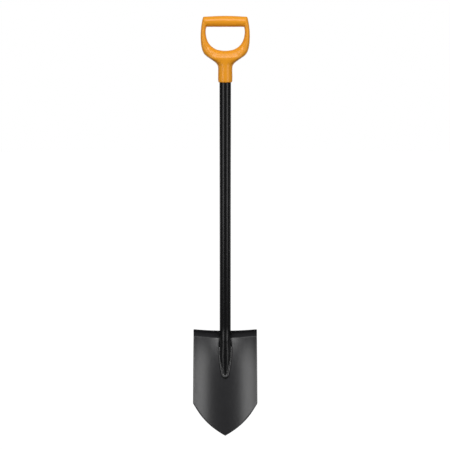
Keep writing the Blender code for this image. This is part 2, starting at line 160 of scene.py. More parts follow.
# Treads: a tight bend, a slow curve and a short flat up to the free edge.
BEND_RADIUS = 0.0040
BEND_TURN = math.radians(20)
TREAD_CURVE = 0.0278
TREAD_TURN = math.radians(62)
TREAD_FLAT = 0.00405
TREAD_RISE = 0.0020
TREAD_CORNER = 0.0040

# What is cut out of the treads behind the tube. The cuts reach well past the treads.
NOTCH_WIDTH = 0.0200
CUT_LENGTH = 0.03445
CUT_HEIGHT = 0.0456

# Pocket under the pressed end of the tube
POCKET_MARGIN = 0.0050
POCKET_START = 0.0010
POCKET_START_WALL = 0.0078
POCKET_END = 0.0120
POCKET_DEPTH = 0.0018
POCKET_WALL = 0.0060
SHOULDER_LENGTH = 0.0200
SHOULDER_START = 0.1

# Welds: diameters and lengths, and shares of a bead's radius or of the treads' turn.
SHAFT_WELD = 0.0060
TIP_WELD = 0.0068
TIP_WELD_POWER = 4
SHAFT_WELD_LENGTH = 0.0820
SHAFT_WELD_SPACING = 1.3
SHAFT_WELD_ASIDE = 0.75
SHAFT_WELD_PROUD = 0.7
TREAD_WELD = 0.0030
TREAD_WELD_START = 0.45

# A bead: the length of one drop of metal, its width and height as shares of a round one's, and the
# rings over which an end fades.
SHAFT_BEAD = {"pitch": 0.0022, "wide": 1.3, "tall": 0.85, "fade": 13}
TREAD_BEAD = {"pitch": 0.0020, "wide": 1.4, "tall": 1.3, "fade": 5}

# A bead's size is its body, the ripple of its drops and a slow wander, in waves per metre.
BEAD_BODY = 0.89
BEAD_RIPPLE = 0.07
BEAD_RIPPLE_POWER = 0.7
BEAD_WANDER = 0.04
BEAD_WANDER_SCALE = 180
BEAD_END = 0.12

# Lengths that differ by less than this are the same.
TINY = 1e-9

# How finely the forms are divided
SECTION_SIDES = 96
STRAIGHT_RINGS = 24
CRANK_RINGS = 16
PRESSED_RINGS = 40
TIP_RINGS = 18
TIP_LENGTH = 0.0300
CUT_RINGS = 10
POCKET_COLUMNS = 24
PLAIN_COLUMNS = 20
CORNER_ROWS = 6
CURL_ROWS = 36
POCKET_ROWS = 80
PLAIN_ROWS = 12
POINT_ROWS = 40
CAGE_SIDES = 8
CAGE_LEVELS = 3
SCREW_SIDES = 48
DOME_RINGS = 8
SHAFT_WELD_STEPS = 15
TREAD_WELD_STEPS = 6
PATH_STEPS = 12
BEAD_SIDES = 16
RINGS_PER_DROP = 5

# The handle's cage is pulled out in rounds, each by this share of what is left.
PULL_ROUNDS = 4
PULL_SHARE = 0.8

# Edges over these angles are sharp.
SHARP_ANGLE = math.radians(50)
SCREW_SHARP_ANGLE = math.radians(40)

# Materials: what most of a noise's values lie between, how far a coat's roughness varies, and the
# depth of relief in metres.
NOISE_SPAN = (0.3, 0.7)
ROUGHNESS_PATCH = 0.02
RELIEF_STRENGTH = 0.3
SCRATCH_STRENGTH = 0.4
FLOW_DEPTH = 0.00004
PEEL_DEPTH = 0.00003
SCRATCH_DEPTH = 0.00002
GRAIN_DEPTH = 0.000004

SHAFT_RADIUS = SHAFT_DIAMETER / 2
SOCKET_RADIUS = SOCKET_DIAMETER / 2
SHEET = BLADE_THICKNESS / 2
CROTCH_Z = -(OPENING_HEIGHT + CROTCH_HEIGHT)
SOCKET_END = CROTCH_Z - SOCKET_LENGTH
SHAFT_TOP = SOCKET_END + SHAFT_INSERT
CRANK_TOP = SHAFT_TOP - SHAFT_LENGTH
CRANK_LENGTH = CRANK_RADIUS * CRANK_ANGLE
HEAD_SEAT = SOCKET_RADIUS - SCREW_SEAT + GAP


# Helpers
def smooth_step(value):
    value = min(max(value, 0), 1)
    return value * value * (3 - 2 * value)


def spread(first, last, count):
    return [first + (last - first) * i / count for i in range(count + 1)]


def add_object(name, data):
    obj = bpy.data.objects.new(name, data)
    bpy.context.scene.collection.objects.link(obj)
    return obj


def mesh_from(bm, name):
    mesh = bpy.data.meshes.new(name)
    bm.to_mesh(mesh)
    bm.free()
    return mesh


def smooth_mesh_from(bm, name):
    """A mesh with its faces turned the same way, outwards where it is closed, and smooth."""
    bmesh.ops.recalc_face_normals(bm, faces=bm.faces)
    mesh = mesh_from(bm, name)
    mesh.shade_smooth()
    return mesh


def cylinder_mesh(name, radius, length, sides):
    """A closed cylinder on the Z axis, from z = 0 up to its length."""
    bm = bmesh.new()
    lift = Matrix.Translation((0, 0, length / 2))
    bmesh.ops.create_cone(
        bm, cap_ends=True, segments=sides, radius1=radius, radius2=radius, depth=length, matrix=lift
    )
    return mesh_from(bm, name)


def box_mesh(name):
    """A box of 1 m on the origin, for a matrix to size and place."""
    bm = bmesh.new()
    bmesh.ops.create_cube(bm, size=1)
    return mesh_from(bm, name)


def join_rings(bm, first, second):
    """Faces between two rings. Where one ring is a single point, they are triangles."""
    for i in range(len(first)):
        j = (i + 1) % len(first)
        bm.faces.new(list(dict.fromkeys((first[i], first[j], second[j], second[i]))))


def join_closed(bm, rings):
    """A skin over a row of rings, closed by a face at each end."""
    for first, second in zip(rings, rings[1:]):
        join_rings(bm, first, second)
    bm.faces.new(rings[0])
    bm.faces.new(rings[-1])


def shown(name, mesh, stands_for, material):
    """A piece of the visible model: it stands for one solid of the frame."""
    obj = add_object(name, mesh)
    mesh.materials.append(material)
    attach(obj, "root")
    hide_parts(stands_for)
    return obj


def cut(obj, name, mesh):
    """Takes a shape out of a piece. make_final throws the shape away once that is done."""
    cutter = add_object(name, mesh)
    modifier = obj.modifiers.new(name, "BOOLEAN")
    modifier.operation = "DIFFERENCE"
    modifier.object = cutter
    return cutter


def make_final(obj, cutters):
    """Keeps the shape that the modifiers give, as the piece's own mesh."""
    bpy.context.view_layer.update()
    graph = bpy.context.evaluated_depsgraph_get()
    mesh = bpy.data.meshes.new_from_object(obj.evaluated_get(graph), depsgraph=graph)
    obj.modifiers.clear()
    obj.data = mesh
    for cutter in cutters:
        bpy.data.objects.remove(cutter, do_unlink=True)


# Middle line of the tube
LOWER_DOWN = Vector((0, -math.sin(CRANK_ANGLE), -math.cos(CRANK_ANGLE)))


def shaft_angle(distance):
    """How far the tube has turned forward, at a distance down from where the crank starts."""
    return min(max(distance, 0), CRANK_LENGTH) / CRANK_RADIUS


def shaft_point(distance):
    """The middle of the tube at that distance."""
    angle = shaft_angle(distance)
    point = Vector((0, -CRANK_RADIUS * (1 - math.cos(angle)), -CRANK_RADIUS * math.sin(angle)))
    point.z += CRANK_TOP - min(distance, 0)
    return point + LOWER_DOWN * max(distance - CRANK_LENGTH, 0)


def shaft_direction(distance):
    angle = shaft_angle(distance)
    return Vector((0, -math.sin(angle), -math.cos(angle)))


# Blade frame: v runs down the blade from the bend of the treads, w points out of its front.
def crown(v):
    """How far the sheet curves back towards the treads."""
    share = max(0, 1 - max(v, 0) / CROWN_LENGTH)
    return CROWN_LENGTH / 2 * math.tan(CROWN_ANGLE) * share**2


# The treads bend off the sheet level with the end of the crank, where the tube rests on it.
BLADE_DOWN = Vector((0, -math.sin(BLADE_LIFT), -math.cos(BLADE_LIFT)))
BLADE_FRONT = Vector((0, -math.cos(BLADE_LIFT), math.sin(BLADE_LIFT)))
BEND_DISTANCE = CRANK_LENGTH
BEND_SEAT = SHAFT_RADIUS + SHEET + SHAFT_STANDOFF
BLADE_ORIGIN = shaft_point(BEND_DISTANCE) - BLADE_FRONT * (BEND_SEAT - crown(0))
SHAFT_TIP = BEND_DISTANCE + SHAFT_LAP
POCKET_LENGTH = SHAFT_LAP * math.cos(BLADE_LIFT - CRANK_ANGLE) + POCKET_END


def blade_world(x, v, w):
    return BLADE_ORIGIN + Vector((x, 0, 0)) + BLADE_DOWN * v + BLADE_FRONT * w


# Shaft
def pressed_section(left):
    """Half width and half height of the tube, this far above its point: an ogive and a taper."""
    ogive = min(left / OGIVE_LENGTH, 1)
    width = OGIVE_POINT / 2 + (PRESSED_WIDTH - OGIVE_POINT) / 2 * (1 - (1 - ogive) ** OGIVE_POWER)
    opened = smooth_step((left - OGIVE_LENGTH) / (PRESSED_LENGTH - OGIVE_LENGTH))
    width += (SHAFT_RADIUS - width) * opened
    taper = min(left / PRESSED_LENGTH, 1) ** TAPER_POWER
    height = TAPER_POINT / 2 + (SHAFT_RADIUS - TAPER_POINT / 2) * taper
    return width, height


def add_ring(bm, distance, half_width, half_height):
    """One section of the tube, square to its middle line."""
    middle = shaft_point(distance)
    down = shaft_direction(distance)
    front = Vector((0, down.z, -down.y))
    ring = []
    for i in range(SECTION_SIDES):
        angle = 2 * math.pi * i / SECTION_SIDES
        across = Vector((half_width * math.cos(angle), 0, 0))
        ring.append(bm.verts.new(middle + across + front * half_height * math.sin(angle)))
    return ring


def make_shaft():
    """The tube: outer skin down to the closed point, where the rings lie closer and closer."""
    coat = black_coat(
        "shaft_coat",
        dark=(0.0035, 0.0035, 0.0040),
        light=(0.0045, 0.0045, 0.0050),
        rough=0.27,
        specular=0.42,
    )
    places = spread(-SHAFT_LENGTH, 0, STRAIGHT_RINGS)[:-1]
    places += spread(0, BEND_DISTANCE, CRANK_RINGS)[:-1]
    places += spread(BEND_DISTANCE, SHAFT_TIP - TIP_LENGTH, PRESSED_RINGS)[:-1]
    places += [SHAFT_TIP - TIP_LENGTH * (1 - share) ** 2 for share in spread(0, 1, TIP_RINGS)]
    bm = bmesh.new()
    join_closed(bm, [add_ring(bm, place, *pressed_section(SHAFT_TIP - place)) for place in places])
    shown("shaft_tube", smooth_mesh_from(bm, "shaft_tube"), "shaft", coat)


# Blade
def dish(x):
    return DISH_RADIUS - math.sqrt(DISH_RADIUS**2 - x**2)


def pocket_half_width(v):
    """The pocket widens from the tube, follows its pressed end and closes in a round end."""
    left = POCKET_LENGTH - POCKET_END - v
    if v <= POCKET_START or left <= -POCKET_END:
        return 0
    shoulder = SHOULDER_START + (1 - SHOULDER_START) * smooth_step(v / SHOULDER_LENGTH)
    half_width = pressed_section(max(left, 0))[0] + POCKET_MARGIN * shoulder
    return half_width * (1 - smooth_step(-left / POCKET_END))


def pocket_depth(x, v):
    side = smooth_step((pocket_half_width(v) - abs(x)) / POCKET_WALL)
    start = smooth_step((v - POCKET_START) / POCKET_START_WALL)
    return POCKET_DEPTH * side * start


def sheet_middle(x, v):
    """Height of the middle of the sheet over the bottom of the blade's dish."""
    return dish(x) - pocket_depth(x, v) - crown(v)


def tread_point(angle, inwards=0):
    """(v, w) on the treads at the bottom of the dish, or this far inside their curl."""
    bend = BEND_RADIUS - inwards
    curve = TREAD_CURVE - inwards
    tight = min(angle, BEND_TURN)
    v = -BEND_RADIUS * math.sin(CROWN_ANGLE) - bend * math.sin(tight)
    w = BEND_RADIUS * math.cos(CROWN_ANGLE) - bend * math.cos(tight) - crown(0)
    v -= curve * (math.sin(angle) - math.sin(tight))
    w += curve * (math.cos(tight) - math.cos(angle))
    return v, w


def blade_half_width(v):
    """Half of the blade's width, in the straight part and in the ogival point."""
    if v <= BLADE_STRAIGHT:
        return BLADE_WIDTH / 2
    share = (v - BLADE_STRAIGHT) / POINT_LENGTH
    return BLADE_WIDTH / 2 * (1 - (1 - POINT_CURVE) * share - POINT_CURVE * share**3)


def blade_columns():
    """Shares of the half width, from edge to edge, close together over the pocket."""
    pocket = PRESSED_WIDTH / 2 + POCKET_MARGIN
    half_arc = DISH_RADIUS * math.asin(BLADE_WIDTH / 2 / DISH_RADIUS)
    right = spread(0, pocket, POCKET_COLUMNS) + spread(pocket, half_arc, PLAIN_COLUMNS)[1:]
    right = [value / half_arc for value in right]
    return [-value for value in right[:0:-1]] + right


def blade_rows():
    """(v, w, narrowing) of each row, from the free edge of the treads down to the point."""
    rows = []
    end_v, end_w = tread_point(TREAD_TURN)
    for turn in spread(0, math.radians(90), CORNER_ROWS):
        length = TREAD_FLAT - TREAD_CORNER * (1 - math.cos(turn))
        v = end_v - length * math.cos(TREAD_TURN)
        w = end_w + length * math.sin(TREAD_TURN)
        rows.append((v, w, TREAD_CORNER * (1 - math.sin(turn))))
    for angle in spread(TREAD_TURN, -CROWN_ANGLE, CURL_ROWS)[:-1]:
        rows.append((*tread_point(angle), 0))
    places = spread(0, POCKET_LENGTH, POCKET_ROWS)[:-1]
    places += spread(POCKET_LENGTH, BLADE_STRAIGHT, PLAIN_ROWS)[:-1]
    places += spread(BLADE_STRAIGHT, BLADE_STRAIGHT + POINT_LENGTH, POINT_ROWS)
    return rows + [(v, -crown(v), 0) for v in places]


def blade_mesh():
    """The middle of the sheet. Its vertex group makes the sheet thin along the edges of the point."""
    bm = bmesh.new()
    layer = bm.verts.layers.deform.verify()
    shares = blade_columns()
    thin = EDGE_THICKNESS / BLADE_THICKNESS
    previous = None
    for v, middle, narrowing in blade_rows():
        half = blade_half_width(v) - narrowing
        if half < TINY:
            tip = bm.verts.new(blade_world(0, v, middle))
            tip[layer][0] = thin
            for first, second in zip(previous, previous[1:]):
                bm.faces.new((first, second, tip))
            break
        arc = DISH_RADIUS * math.asin(half / DISH_RADIUS)
        row = []
        for number, share in enumerate(shares):
            x = DISH_RADIUS * math.sin(share * arc / DISH_RADIUS)
            rise = TREAD_RISE * (2 * x / BLADE_WIDTH) ** 2 * max(0, 1 - v / POCKET_LENGTH)
            vert = bm.verts.new(blade_world(x, v - rise, dish(x) - pocket_depth(x, v) + middle))
            edge = v > BLADE_STRAIGHT - TINY and number in (0, len(shares) - 1)
            vert[layer][0] = thin if edge else 1
            row.append(vert)
        if previous:
            for i in range(len(shares) - 1):
                bm.faces.new((previous[i], previous[i + 1], row[i + 1], row[i]))
        previous = row
    return smooth_mesh_from(bm, "blade_sheet")


def notch_mesh():
    """A box that takes the middle of the treads away behind the tube."""
    mesh = box_mesh("notch")
    size = Matrix.Diagonal((NOTCH_WIDTH, CUT_LENGTH, CUT_HEIGHT, 1))
    turn = Matrix((Vector((-1, 0, 0)), BLADE_DOWN, BLADE_FRONT)).transposed().to_4x4()
    place = Matrix.Translation(blade_world(0, -CUT_LENGTH / 2, CUT_HEIGHT / 3))
    mesh.transform(place @ turn @ size)
    return mesh


def tube_space_mesh():
    """The tube's outside with the gap of the weld, from the bend up past the treads."""
    radius = SHAFT_RADIUS + WELD_GAP
    bm = bmesh.new()
    places = spread(BEND_DISTANCE, BEND_DISTANCE - CUT_LENGTH, CUT_RINGS)
    join_closed(bm, [add_ring(bm, place, radius, radius) for place in places])
    bmesh.ops.recalc_face_normals(bm, faces=bm.faces)
    return mesh_from(bm, "tube_space")


def make_blade():
    coat = black_coat(
        "blade_coat",
        dark=(0.0125, 0.0125, 0.0145),
        light=(0.0155, 0.0155, 0.0180),
        rough=0.31,
        specular=1.0,
    )
    blade = shown("blade_sheet", blade_mesh(), "blade", coat)
    blade.vertex_groups.new(name="sheet")
    solidify = blade.modifiers.new("sheet", "SOLIDIFY")
    solidify.thickness = BLADE_THICKNESS
    solidify.offset = 0
    solidify.use_even_offset = True
    solidify.vertex_group = "sheet"
    cutters = [cut(blade, "notch", notch_mesh()), cut(blade, "tube_space", tube_space_mesh())]
    edge = blade.modifiers.new("edge", "BEVEL")
    edge.width = EDGE_BEVEL
    edge.segments = 2
    edge.limit_method = "ANGLE"
    edge.angle_limit = SHARP_ANGLE
    make_final(blade, cutters)


# Handle
def opening_half_width(depth):
    """Half of the hand opening's width, this far below the grip bar."""
    share = min(depth / OPENING_HEIGHT, 1)
    return OPENING_WIDTH / 2 * (1 - share**OPENING_SIDE_POWER) ** OPENING_END_POWER


def handle_stations():
    """Right half of the D: inner (x, z), outer (x, z) and half depth, from bar to crotch."""
    opening = OPENING_WIDTH / 2
    handle = HANDLE_WIDTH / 2
    shoulder = SHOULDER_WIDTH / 2
    corner = OPENING_CORNER
    bar = GRIP_DEPTH / 2
    arm = ARM_DEPTH / 2
    crotch = CROTCH_DEPTH / 2
    deep = OPENING_HEIGHT
    low = CROTCH_Z

    def inner(share):
        return opening_half_width(share * deep), -share * deep

    return [
        ((0, 0), (0, GRIP_HEIGHT), bar),
        ((0.50 * opening, 0), (0.55 * opening, GRIP_HEIGHT - 0.3 * GRIP_CROWN), bar),
        ((opening - corner, 0), (opening, GRIP_HEIGHT - GRIP_CROWN), 0.97 * bar),
        (
            (opening - 0.25 * corner, -0.3 * corner),
            (shoulder - 0.15 * corner, GRIP_HEIGHT - GRIP_CROWN - 0.6 * corner),
            0.92 * bar,
        ),
        (inner(0.20), (handle - 0.15 * corner, -0.05 * deep), arm),
        (inner(0.42), (handle, -0.42 * deep), arm),
        (inner(0.64), (handle - 0.2 * corner, -0.78 * deep), arm),
        (inner(0.82), (0.908 * handle, low + 0.88 * CROTCH_HEIGHT), 1.04 * arm),
        (inner(0.92), (0.785 * handle, low + 0.43 * CROTCH_HEIGHT), 0.9 * crotch),
        (inner(0.965), (0.535 * handle, low - 0.04 * CROTCH_HEIGHT), crotch),
        ((0, -deep), (0, low), crotch),
    ]


def handle_section(inner, outer, half_depth):
    """Eight points round the ring: inner edge, front, outer edge and back, clockwise from above."""
    middle = (Vector(inner) + Vector(outer)) / 2
    arm = (Vector(outer) - Vector(inner)) / 2
    points = []
    for i in range(CAGE_SIDES):
        angle = 2 * math.pi * i / CAGE_SIDES
        flat = middle - arm * math.cos(angle)
        points.append(Vector((flat.x, -half_depth * math.sin(angle), flat.y)))
    return points


def roll_into_socket(section):
    """Rounds the crotch so that its front and back run down into the socket without a fold."""
    deep = CROTCH_DEPTH / 2
    for share, front, back in zip(CROTCH_ROLL, (1, 2, 3), (7, 6, 5)):
        section[front].y = -share * deep
        section[back].y = share * deep


def socket_rings():
    """(z, half width, half depth) of the rings from the crotch down to the end of the socket."""
    radius = SOCKET_RADIUS
    return [
        (CROTCH_Z - 0.17 * SOCKET_LENGTH, 1.25 * radius, 1.02 * radius),
        (CROTCH_Z - 0.35 * SOCKET_LENGTH, radius, radius),
        (CROTCH_Z - 0.63 * SOCKET_LENGTH, radius, radius),
        (SOCKET_END + 1.5 * SOCKET_EDGE, radius, radius),
        (SOCKET_END + 0.25 * SOCKET_EDGE, radius - 0.35 * SOCKET_EDGE, radius - 0.35 * SOCKET_EDGE),
        (SOCKET_END, radius - SOCKET_EDGE, radius - SOCKET_EDGE),
        (SOCKET_END, 0.3 * radius, 0.3 * radius),
    ]


def handle_cage():
    """The coarse cage of the handle, its vertices on the points that the surface will pass through."""
    bm = bmesh.new()
    right = [handle_section(*station) for station in handle_stations()]
    for section in right[-2:]:
        roll_into_socket(section)
    left = [[Vector((-p.x, p.y, p.z)) for p in section] for section in right[-2:0:-1]]
    loop = [[bm.verts.new(p) for p in section] for section in right + left]
    count = len(loop)
    bottom = len(right) - 1
    # Under the crotch, four faces stay open for the socket.
    open_faces = {(bottom - 1, 3), (bottom - 1, 4), (bottom, 3), (bottom, 4)}
    for i in range(count):
        for k in range(CAGE_SIDES):
            if (i, k) in open_faces:
                continue
            first, second = loop[i], loop[(i + 1) % count]
            ahead = (k + 1) % CAGE_SIDES
            bm.faces.new((first[k], first[ahead], second[ahead], second[k]))
    bm.verts.remove(loop[bottom][4])
    before, here, after = loop[bottom - 1], loop[bottom], loop[bottom + 1]
    rim = [before[4], before[3], here[3], after[3], after[4], after[5], here[5], before[5]]
    for z, half_width, half_depth in socket_rings():
        ring = []
        for i in range(CAGE_SIDES):
            angle = -2 * math.pi * i / CAGE_SIDES
            place = (half_width * math.cos(angle), half_depth * math.sin(angle), z)
            ring.append(bm.verts.new(place))
        join_rings(bm, rim, ring)
        rim = ring
    bm.faces.new(rim)
    bmesh.ops.recalc_face_normals(bm, faces=bm.faces)
    return mesh_from(bm, "d_handle")


def pull_onto_points(obj):
    """Moves the cage out until its smoothed surface passes through the points it was drawn on."""
    wanted = [vert.co.copy() for vert in obj.data.vertices]
    for _ in range(PULL_ROUNDS):
        bpy.context.view_layer.update()
        smoothed = obj.evaluated_get(bpy.context.evaluated_depsgraph_get()).data
        offsets = [place - smoothed.vertices[i].co for i, place in enumerate(wanted)]
        for vert, offset in zip(obj.data.vertices, offsets):
            vert.co += PULL_SHARE * offset
        obj.data.update()


def place_on_screw_axis(mesh, start):
    """Turns a mesh on the Z axis so that it points out of the back of the socket."""
    turn = Matrix.Rotation(-math.pi / 2, 4, "X")
    place = Matrix.Translation((0, start, SOCKET_END + SCREW_HEIGHT))
    mesh.transform(place @ turn)


def make_handle():
    handle = shown("handle_body", handle_cage(), "d_handle", handle_plastic())
    smooth = handle.modifiers.new("smooth", "SUBSURF")
    smooth.levels = CAGE_LEVELS
    smooth.render_levels = CAGE_LEVELS
    pull_onto_points(handle)
    bore = cylinder_mesh("bore", SHAFT_RADIUS + GAP, 2 * SHAFT_INSERT, SECTION_SIDES)
    bore.transform(Matrix.Translation((0, 0, SHAFT_TOP + GAP - 2 * SHAFT_INSERT)))
    seat = cylinder_mesh("screw_seat", SCREW_HEAD / 2 + 2 * GAP, SOCKET_RADIUS, SCREW_SIDES)
    place_on_screw_axis(seat, SOCKET_RADIUS - SCREW_SEAT)
    make_final(handle, [cut(handle, "bore", bore), cut(handle, "screw_seat", seat)])
    handle.data.set_sharp_from_angle(angle=SHARP_ANGLE)


# Handle screw
def screw_head_mesh():
    """A pan head: half of its profile, turned round the screw's axis."""
    radius = SCREW_HEAD / 2
    profile = [(0, HEAD_SEAT + SCREW_HEAD_HEIGHT)]
    for i in range(1, DOME_RINGS + 1):
        angle = math.radians(90) * i / DOME_RINGS
        height = SCREW_HEAD_HEIGHT * (1 - SCREW_DOME + SCREW_DOME * math.cos(angle))
        profile.append((radius * math.sin(angle), HEAD_SEAT + height))
    profile += [(radius, HEAD_SEAT), (0, HEAD_SEAT)]
    bm = bmesh.new()
    rings = []
    for x, z in profile:
        if x == 0:
            rings.append([bm.verts.new((0, 0, z))] * SCREW_SIDES)
            continue
        turns = [2 * math.pi * i / SCREW_SIDES for i in range(SCREW_SIDES)]
        rings.append([bm.verts.new((x * math.cos(a), x * math.sin(a), z)) for a in turns])
    for first, second in zip(rings, rings[1:]):
        join_rings(bm, first, second)
    mesh = smooth_mesh_from(bm, "screw_head")
    place_on_screw_axis(mesh, 0)
    return mesh


def recess_mesh(name, angle):
    """One of the two slots of the cross recess, narrower at its bottom."""
    slot = box_mesh(name)
    slot.transform(Matrix.Diagonal((RECESS_LENGTH, RECESS_WIDTH, 2 * RECESS_DEPTH, 1)))
    for vert in slot.vertices:
        if vert.co.z < 0:
            vert.co.x *= RECESS_NARROWING[0]
            vert.co.y *= RECESS_NARROWING[1]
    slot.transform(Matrix.Rotation(angle, 4, "Z"))
    slot.transform(Matrix.Translation((0, 0, HEAD_SEAT + SCREW_HEAD_HEIGHT)))
    place_on_screw_axis(slot, 0)
    return slot


def make_screw():
    """A pan-head screw with a cross recess, its axis out of the back of the socket."""
    screw = shown("screw_head", screw_head_mesh(), "handle_screw", screw_zinc())
    cutters = []
    for name, degrees in (("recess_0", 45), ("recess_1", 135)):
        cutters.append(cut(screw, name, recess_mesh(name, math.radians(degrees))))
    make_final(screw, cutters)
    screw.data.set_sharp_from_angle(angle=SCREW_SHARP_ANGLE)


# Welds
def shaft_weld_path():
    """Down one side of the pressed end, thicker round its point and up the other side."""
    right = []
    for i in range(SHAFT_WELD_STEPS + 1):
        share = 1 - i / SHAFT_WELD_STEPS
        left = SHAFT_WELD_LENGTH * share**SHAFT_WELD_SPACING
        radius = (SHAFT_WELD + (TIP_WELD - SHAFT_WELD) * (1 - share) ** TIP_WELD_POWER) / 2
        half_width, _ = pressed_section(left)
        middle = shaft_point(SHAFT_TIP - left) - BLADE_ORIGIN
        right.append((half_width + SHAFT_WELD_ASIDE * radius, middle.dot(BLADE_DOWN), radius))
    x, v, radius = right[-1]
    reach = radius + WELD_GAP
    right += [(x - 0.4 * reach, v + 0.45 * reach, 1.1 * radius), (0, v + 1.55 * reach, 1.25 * radius)]
    outline = right + [(-x, v, radius) for x, v, radius in right[-2::-1]]
    points = []
    for x, v, radius in outline:
        height = max(sheet_middle(x + side * radius, v) for side in (-1, -0.5, 0, 0.5, 1))
        points.append((blade_world(x, v, height + SHEET + SHAFT_WELD_PROUD * radius), radius))
    return points


def tread_weld_path(side):
    """Along the front of one tread, where it meets the side of the tube."""
    reach = TREAD_WELD / 2 + WELD_GAP
    points = []
    for i in range(TREAD_WELD_STEPS + 1):
        angle = TREAD_TURN * (TREAD_WELD_START + (1 - TREAD_WELD_START) * i / TREAD_WELD_STEPS)
        v, w = tread_point(angle, SHEET + reach)
        w += dish(SHAFT_RADIUS)
        seat = shaft_point(BEND_DISTANCE + v) - BLADE_ORIGIN
        across = math.sqrt(max((SHAFT_RADIUS + reach) ** 2 - (seat.dot(BLADE_FRONT) - w) ** 2, 0))
        points.append((blade_world(side * across, v, w), TREAD_WELD / 2))
    return points


def smooth_path(points, step):
    """Evenly spaced points on a curve through the given ones."""
    fine = []
    for i in range(len(points) - 1):
        before = points[max(i - 1, 0)]
        start, end = points[i], points[i + 1]
        after = points[min(i + 2, len(points) - 1)]
        for k in range(PATH_STEPS):
            t = k / PATH_STEPS
            place = 2 * start + (end - before) * t
            place += (2 * before - 5 * start + 4 * end - after) * t * t
            place += (3 * start - before - 3 * end + after) * t**3
            fine.append(place / 2)
    fine.append(points[-1])
    result = [fine[0]]
    travelled = 0
    for first, second in zip(fine, fine[1:]):
        travelled += (second - first).length
        if travelled >= step:
            result.append(second)
            travelled = 0
    return result


def bead_mesh(name, points, seed, pitch, wide, tall, fade):
    """A weld bead: a cord that swells once for each drop of metal and fades out at its ends."""
    path = smooth_path([Vector((*place, radius)) for place, radius in points], pitch / RINGS_PER_DROP)
    last = len(path) - 1
    bm = bmesh.new()
    rings = []
    travelled = 0
    for i, place in enumerate(path):
        point = place.xyz
        ahead = (path[min(i + 1, last)] - path[max(i - 1, 0)]).xyz
        ahead.normalize()
        across = ahead.cross(BLADE_FRONT).normalized()
        up = across.cross(ahead).normalized()
        if i:
            travelled += (point - path[i - 1].xyz).length
        ripple = BEAD_RIPPLE * abs(math.sin(math.pi * travelled / pitch)) ** BEAD_RIPPLE_POWER
        wander = BEAD_WANDER * noise.noise(Vector((travelled * BEAD_WANDER_SCALE, seed, 0)))
        end = min(1, BEAD_END + min(i, last - i) / fade)
        size = place.w * (BEAD_BODY + ripple + wander) * math.sin(math.pi / 2 * end)
        ring = []
        for k in range(BEAD_SIDES):
            angle = 2 * math.pi * k / BEAD_SIDES
            around = across * (wide * math.cos(angle)) + up * (tall * math.sin(angle))
            ring.append(bm.verts.new(point + around * size))
        rings.append(ring)
    join_closed(bm, rings)
    return smooth_mesh_from(bm, name)


def make_welds():
    coat = black_coat(
        "weld_coat",
        dark=(0.0050, 0.0050, 0.0055),
        light=(0.0070, 0.0070, 0.0075),
        rough=0.19,
        specular=1.0,
    )
    mesh = bead_mesh("shaft_bead", shaft_weld_path(), seed=1, **SHAFT_BEAD)
    shown("shaft_bead", mesh, "shaft_weld", coat)
    for seed, side, name in ((2, -1, "left"), (3, 1, "right")):
        mesh = bead_mesh("bead_" + name, tread_weld_path(side), seed=seed, **TREAD_BEAD)
        shown("bead_" + name, mesh, "weld_" + name, coat)


# Materials: noise in object space, whose scale is in waves per metre.
def new_material(name):
    material = bpy.data.materials.new(name)
    material.use_nodes = True
    return material, material.node_tree, material.node_tree.nodes["Principled BSDF"]


def noise_value(tree, scale, detail, stretch=(1, 1, 1)):
    place = tree.nodes.new("ShaderNodeTexCoord")
    sized = tree.nodes.new("ShaderNodeMapping")
    sized.inputs["Scale"].default_value = stretch
    texture = tree.nodes.new("ShaderNodeTexNoise")
    texture.inputs["Scale"].default_value = scale
    texture.inputs["Detail"].default_value = detail
    tree.links.new(place.outputs["Object"], sized.inputs["Vector"])
    tree.links.new(sized.outputs["Vector"], texture.inputs["Vector"])
    return texture.outputs[0]


def to_range(tree, value, low, high, span=NOISE_SPAN):
    """Runs from low to high while the value runs over its span."""
    node = tree.nodes.new("ShaderNodeMapRange")
    for name, number in zip(("From Min", "From Max", "To Min", "To Max"), (*span, low, high)):
        node.inputs[name].default_value = number
    tree.links.new(value, node.inputs["Value"])
    return node.outputs["Result"]


def join_values(tree, operation, first, second):
    node = tree.nodes.new("ShaderNodeMath")
    node.operation = operation
    tree.links.new(first, node.inputs[0])
    tree.links.new(second, node.inputs[1])
    return node.outputs[0]


def cloud_colour(tree, shader, value, dark, light):
    """The surface's colour, between a darker and a lighter one as the noise runs."""
    node = tree.nodes.new("ShaderNodeMix")
    node.data_type = "RGBA"
    colours = [socket for socket in node.inputs if socket.type == "RGBA"]
    for socket, colour in zip(colours, (dark, light)):
        socket.default_value = (*colour, 1)
    tree.links.new(to_range(tree, value, 0, 1), node.inputs["Factor"])
    mixed = next(socket for socket in node.outputs if socket.type == "RGBA")
    tree.links.new(mixed, shader.inputs["Base Color"])


def patchy_roughness(tree, shader, value, low, high):
    tree.links.new(to_range(tree, value, low, high), shader.inputs["Roughness"])


def add_bump(tree, shader, heights, strength):
    """Small relief: each height is a noise and the depth of its waves in metres."""
    normal = None
    for value, depth in heights:
        bump = tree.nodes.new("ShaderNodeBump")
        bump.inputs["Strength"].default_value = strength
        bump.inputs["Distance"].default_value = depth
        tree.links.new(value, bump.inputs["Height"])
        if normal:
            tree.links.new(normal, bump.inputs["Normal"])
        normal = bump.outputs["Normal"]
    tree.links.new(normal, shader.inputs["Normal"])


